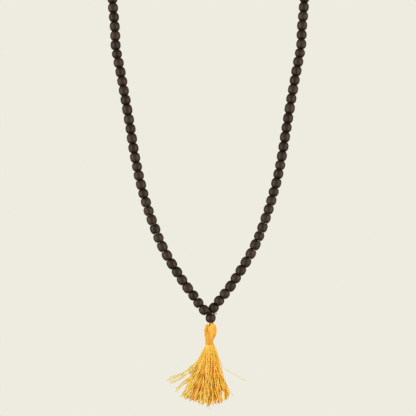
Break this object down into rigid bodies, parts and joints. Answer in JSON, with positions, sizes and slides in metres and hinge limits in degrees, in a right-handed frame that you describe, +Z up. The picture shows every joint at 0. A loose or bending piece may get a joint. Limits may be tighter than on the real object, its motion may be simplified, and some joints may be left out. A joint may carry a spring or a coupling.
{
  "type": "mala",
  "caption": "Long loop of dark barrel-shaped wooden beads that meets in a V at a guru bead, with a golden yellow thread tassel below it, held as it hangs round a neck.",
  "frame": {"origin": "the nape: middle of the back of the loop, on the side of the beads that the neck touches", "axes": "+X to the right as seen from the front, +Y to the back, away from the neck, +Z up; the front strands and the tassel hang in an upright plane in front of the origin"},
  "size_m": [0.1591, 0.0901, 0.3678],
  "materials": {
    "bead_wood": "turned dark wood, oiled and rubbed to a satin",
    "bead_string": "plied cotton string, grey brown",
    "loop_thread": "rayon thread, deep red orange",
    "tassel_thread": "lustrous rayon thread, golden yellow"
  },
  "bodies": {
    "root": {"bead_left_01": "bead_wood", "bead_left_02": "bead_wood", "bead_left_03": "bead_wood", "bead_left_04": "bead_wood", "bead_left_05": "bead_wood", "bead_left_06": "bead_wood", "bead_left_07": "bead_wood", "bead_left_08": "bead_wood", "bead_left_09": "bead_wood", "bead_left_10": "bead_wood", "bead_left_11": "bead_wood", "bead_left_12": "bead_wood", "bead_left_13": "bead_wood", "bead_left_14": "bead_wood", "bead_left_15": "bead_wood", "bead_left_16": "bead_wood", "bead_left_17": "bead_wood", "bead_left_18": "bead_wood", "bead_left_19": "bead_wood", "bead_left_20": "bead_wood", "bead_right_01": "bead_wood", "bead_right_02": "bead_wood", "bead_right_03": "bead_wood", "bead_right_04": "bead_wood", "bead_right_05": "bead_wood", "bead_right_06": "bead_wood", "bead_right_07": "bead_wood", "bead_right_08": "bead_wood", "bead_right_09": "bead_wood", "bead_right_10": "bead_wood", "bead_right_11": "bead_wood", "bead_right_12": "bead_wood", "bead_right_13": "bead_wood", "bead_right_14": "bead_wood", "bead_right_15": "bead_wood", "bead_right_16": "bead_wood", "bead_right_17": "bead_wood", "bead_right_18": "bead_wood", "bead_right_19": "bead_wood", "bead_right_20": "bead_wood", "guru_bead": "bead_wood", "strand_left_front": "bead_wood", "strand_right_front": "bead_wood", "strand_left_shoulder": "bead_wood", "strand_right_shoulder": "bead_wood", "strand_back": "bead_wood", "thread_left": "bead_string", "thread_right": "bead_string", "thread_tail": "bead_string", "tassel_loop": "loop_thread", "tassel_main_fold": "tassel_thread", "tassel_side_fold": "tassel_thread", "tassel_binding": "tassel_thread", "tassel_skirt": "tassel_thread"}
  },
  "joints": []
}
